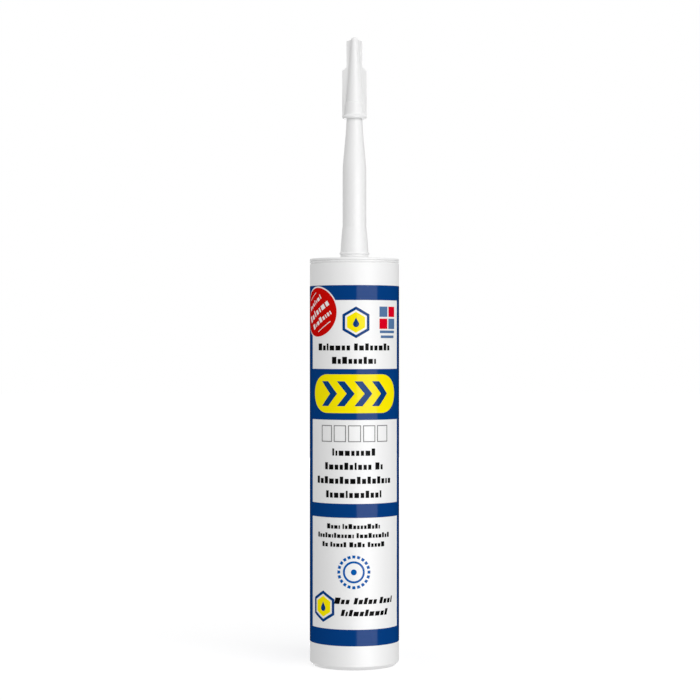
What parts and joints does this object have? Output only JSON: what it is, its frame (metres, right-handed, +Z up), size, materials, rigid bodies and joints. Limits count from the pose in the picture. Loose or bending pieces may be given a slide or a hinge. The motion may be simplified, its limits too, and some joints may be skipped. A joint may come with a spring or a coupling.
{
  "type": "caulk tube",
  "caption": "Upright sealant cartridge: printed white barrel with a sliding piston, a screw-on nozzle and a winged pull-off cap.",
  "frame": {"origin": "centre of the plane that the tail rim stands on, on the barrel's axis", "axes": "+Z up the barrel's axis towards the nozzle's tip, -Y the middle of the printed face, +X to its right as it is read"},
  "size_m": [0.0496, 0.0496, 0.3488],
  "materials": {
    "barrel_white": "smooth semi-gloss white moulded plastic",
    "piston_white": "natural white moulded plastic",
    "paste_white": "soft white paste",
    "nozzle_white": "smooth semi-gloss white moulded plastic",
    "cap_white": "slightly translucent white moulded plastic",
    "ink_blue": "glossy dark blue ink",
    "ink_yellow": "glossy yellow ink",
    "ink_red": "glossy dark red ink",
    "ink_crimson": "glossy bright red ink",
    "ink_slate": "glossy slate blue ink",
    "ink_black": "glossy black ink",
    "ink_grey": "glossy grey ink",
    "ink_sky": "glossy mid blue ink"
  },
  "bodies": {
    "barrel": {"barrel": "barrel_white", "sealant": "paste_white", "print_blue": "ink_blue", "print_yellow": "ink_yellow", "print_red": "ink_red", "print_crimson": "ink_crimson", "print_slate": "ink_slate", "print_black": "ink_black", "print_grey": "ink_grey", "print_sky": "ink_sky"},
    "piston": {"piston": "piston_white"},
    "nozzle": {"nozzle": "nozzle_white"},
    "cap": {"cap": "cap_white"}
  },
  "joints": [
    {"name": "piston_slide", "type": "slide", "parent": "barrel", "child": "piston", "axis": [0, 0, 1], "range_m": [0, 0.176], "deforming": ["sealant"]},
    {"name": "nozzle_lift", "type": "slide", "parent": "barrel", "child": "nozzle", "axis": [0, 0, 1], "range_m": [0, 0.022]},
    {"name": "cap_pull", "type": "slide", "parent": "nozzle", "child": "cap", "axis": [0, 0, 1], "range_m": [0, 0.036]}
  ]
}
